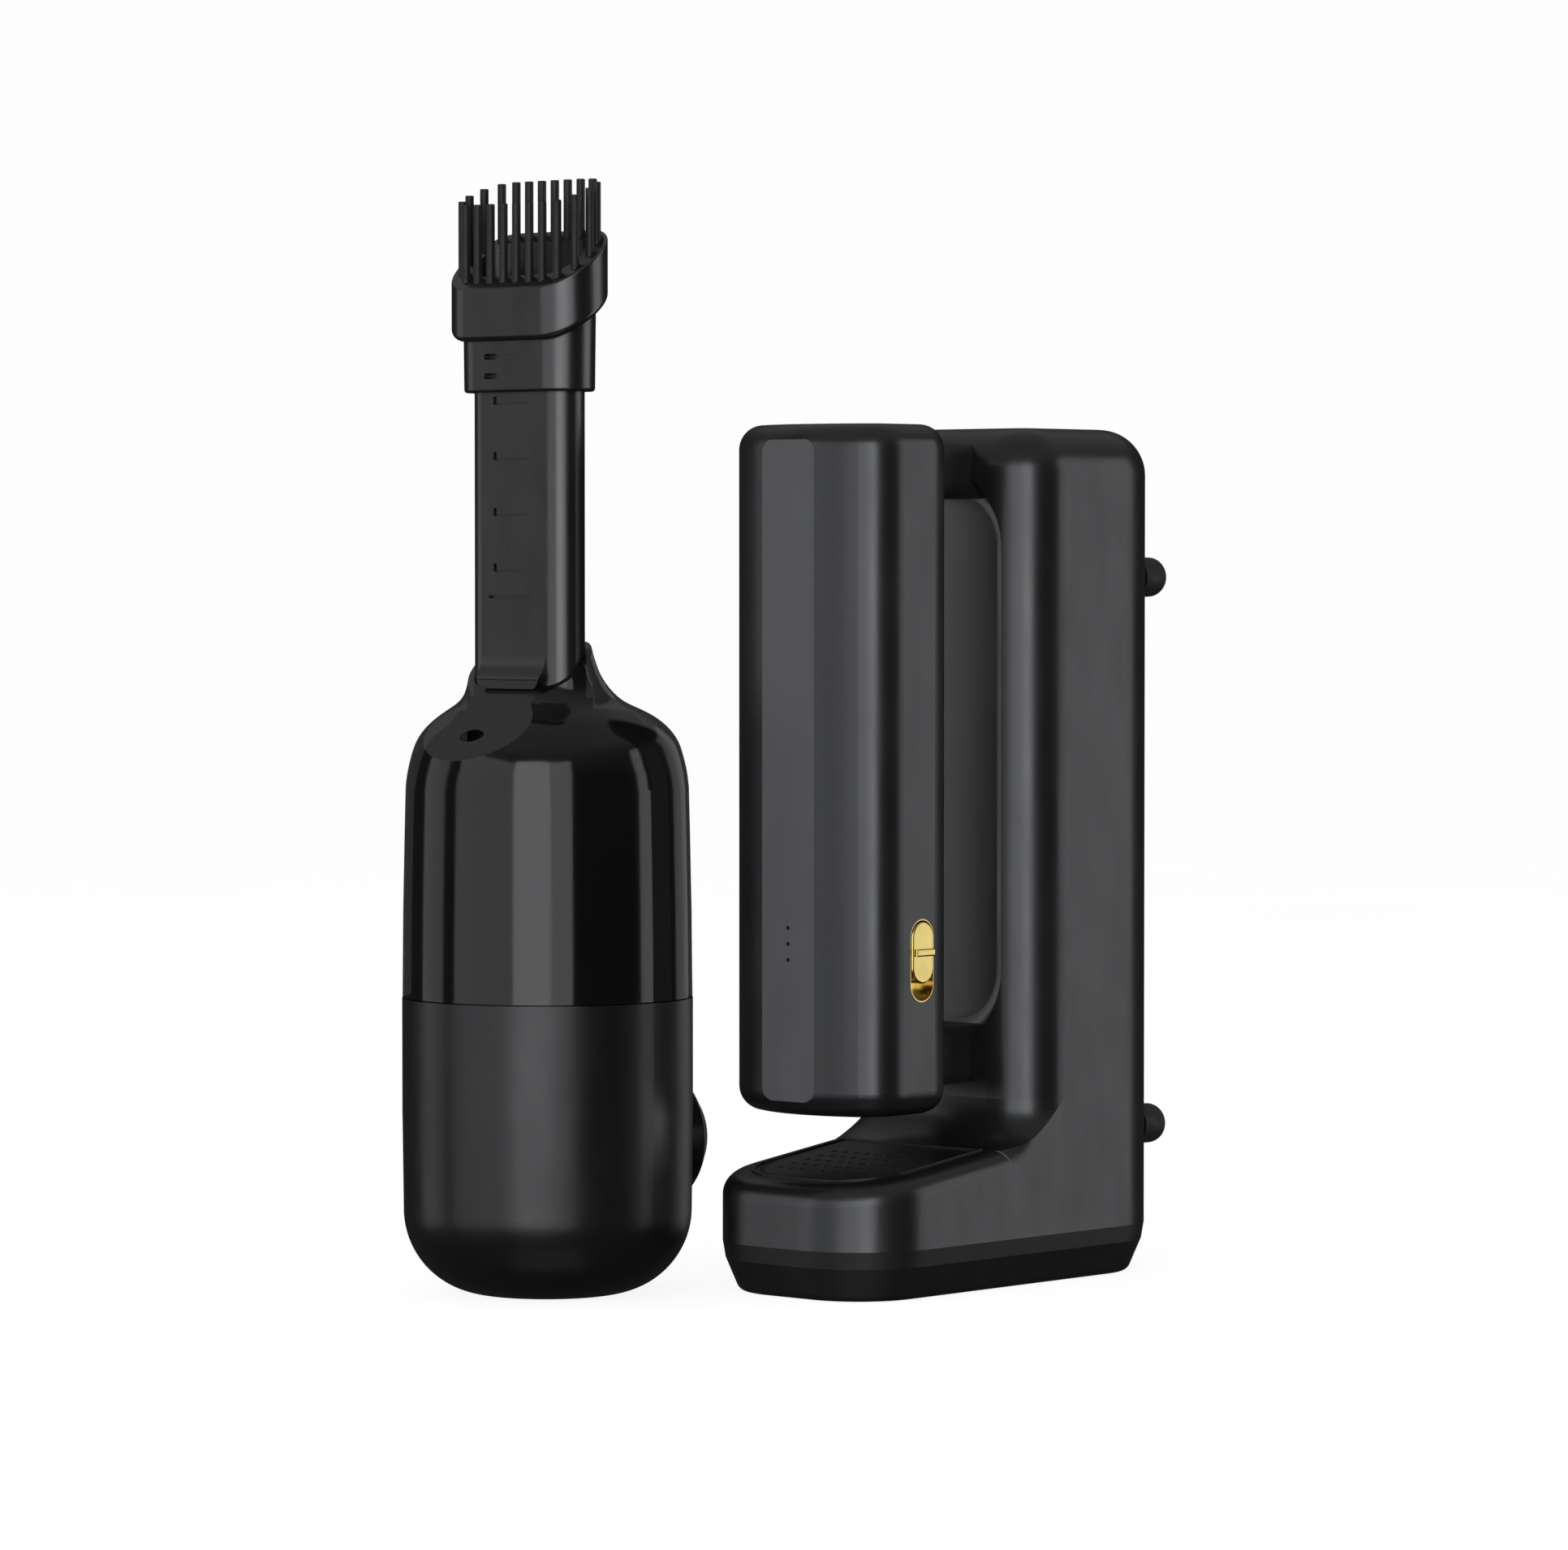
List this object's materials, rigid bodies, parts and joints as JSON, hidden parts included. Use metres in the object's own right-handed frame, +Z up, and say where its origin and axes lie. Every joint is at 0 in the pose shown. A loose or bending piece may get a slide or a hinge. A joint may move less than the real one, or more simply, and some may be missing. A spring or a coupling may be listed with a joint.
{
  "type": "handheld vacuum",
  "caption": "Cordless handheld vacuum with smoked dust cup, crevice nozzle and sliding bristle brush, beside its upright stand with a long grip and slide switch.",
  "frame": {"origin": "centre of the stand's underside, on the floor, at the face of its central rubber pad", "axes": "+Z up, -Y towards the fronts of both pieces (flat of the nozzle, front of the grip), +X to the side of the grip that carries the slide switch"},
  "size_m": [0.1164, 0.186, 0.2717],
  "materials": {
    "shell_black": "fine satin texture",
    "base_black": "fine satin texture",
    "cup_smoke": "polished smoked polycarbonate",
    "nozzle_satin": "satin",
    "bristle": "soft matt silicone",
    "soft_black": "matt",
    "gold": "polished gold-coloured plating",
    "button_gloss": "gloss black",
    "steel": "bright",
    "motor_metal": "zinc plated",
    "fan_grey": "moulded",
    "filter_white": "pleated filter paper",
    "foam_dark": "open foam",
    "mesh_steel": "perforated sheet",
    "board_green": "solder mask",
    "cell_sleeve": "shrink sleeve",
    "ballast": "as cast",
    "light_grey": "diffusing lens",
    "carrier_grey": "moulded"
  },
  "bodies": {
    "stand": {"stand_body": "shell_black", "stand_base": "base_black", "base_feet": "soft_black", "stand_screws": "steel", "ballast_plate": "ballast", "charger_board": "board_green", "power_inlet": "steel", "foot_grille": "base_black", "upper_neck": "soft_black", "lower_neck": "soft_black", "wall_bumpers": "soft_black", "grip_shell": "shell_black", "grip_back": "shell_black", "grip_screws": "steel", "grip_cells": "cell_sleeve", "cell_carrier": "carrier_grey", "level_board": "board_green", "level_lights": "light_grey", "switch_pocket": "gold"},
    "switch": {"slide_switch": "gold"},
    "housing": {"motor_housing": "shell_black", "base_cap": "base_black", "foot_ring": "soft_black", "base_screws": "steel", "cell_holder": "carrier_grey", "battery_cells": "cell_sleeve", "button_bezel": "button_gloss", "button_switch": "carrier_grey", "control_board": "board_green", "charge_port": "steel", "motor_can": "motor_metal", "rear_bearing": "steel", "front_bearing": "steel", "motor_mount": "soft_black", "diffuser": "fan_grey", "fan_shroud": "carrier_grey", "exhaust_filter": "foam_dark", "deck_plate": "shell_black", "deck_screws": "steel", "seal_ring": "soft_black"},
    "filter": {"filter_frame": "carrier_grey", "filter_pleats": "filter_white", "mesh_screen": "mesh_steel"},
    "fan": {"rotor_shaft": "steel", "impeller": "fan_grey"},
    "button": {"power_button": "button_gloss"},
    "cup": {"dust_cup": "cup_smoke", "nozzle_socket": "carrier_grey"},
    "flap": {"inlet_flap": "soft_black"},
    "nozzle": {"crevice_nozzle": "nozzle_satin"},
    "brush": {"brush_sleeve": "nozzle_satin", "brush_head": "nozzle_satin", "brush_bristles": "bristle"}
  },
  "joints": [
    {"name": "cleaner_lift", "type": "slide", "parent": "stand", "child": "housing", "axis": [0, 0, 1], "range_m": [0, 0.15]},
    {"name": "cup_lift", "type": "slide", "parent": "housing", "child": "cup", "axis": [0, 0, 1], "range_m": [0, 0.09]},
    {"name": "filter_pull", "type": "slide", "parent": "housing", "child": "filter", "axis": [0, 0, 1], "range_m": [0, 0.012]},
    {"name": "nozzle_pull", "type": "slide", "parent": "cup", "child": "nozzle", "axis": [0, 0, 1], "range_m": [0, 0.03]},
    {"name": "brush_slide", "type": "slide", "parent": "nozzle", "child": "brush", "axis": [0, 0, 1], "range_m": [-0.0496, 0]},
    {"name": "flap_swing", "type": "hinge", "parent": "cup", "child": "flap", "pos_m": [-0.0514, -0.0822, 0.1294], "axis": [1, 0, 0], "range_deg": [0, 50], "stiffness_Nm_per_rad": 0.002, "springref_deg": -11.46},
    {"name": "fan_spin", "type": "hinge", "parent": "housing", "child": "fan", "pos_m": [-0.0514, -0.0857, 0.066], "axis": [0, 0, 1], "continuous": true},
    {"name": "button_press", "type": "slide", "parent": "housing", "child": "button", "axis": [0, -1, 0], "range_m": [0, 0.0015], "stiffness_N_per_m": 1500, "springref_m": -0.001},
    {"name": "switch_slide", "type": "slide", "parent": "stand", "child": "switch", "axis": [0, 0, 1], "range_m": [-0.004, 0]}
  ]
}
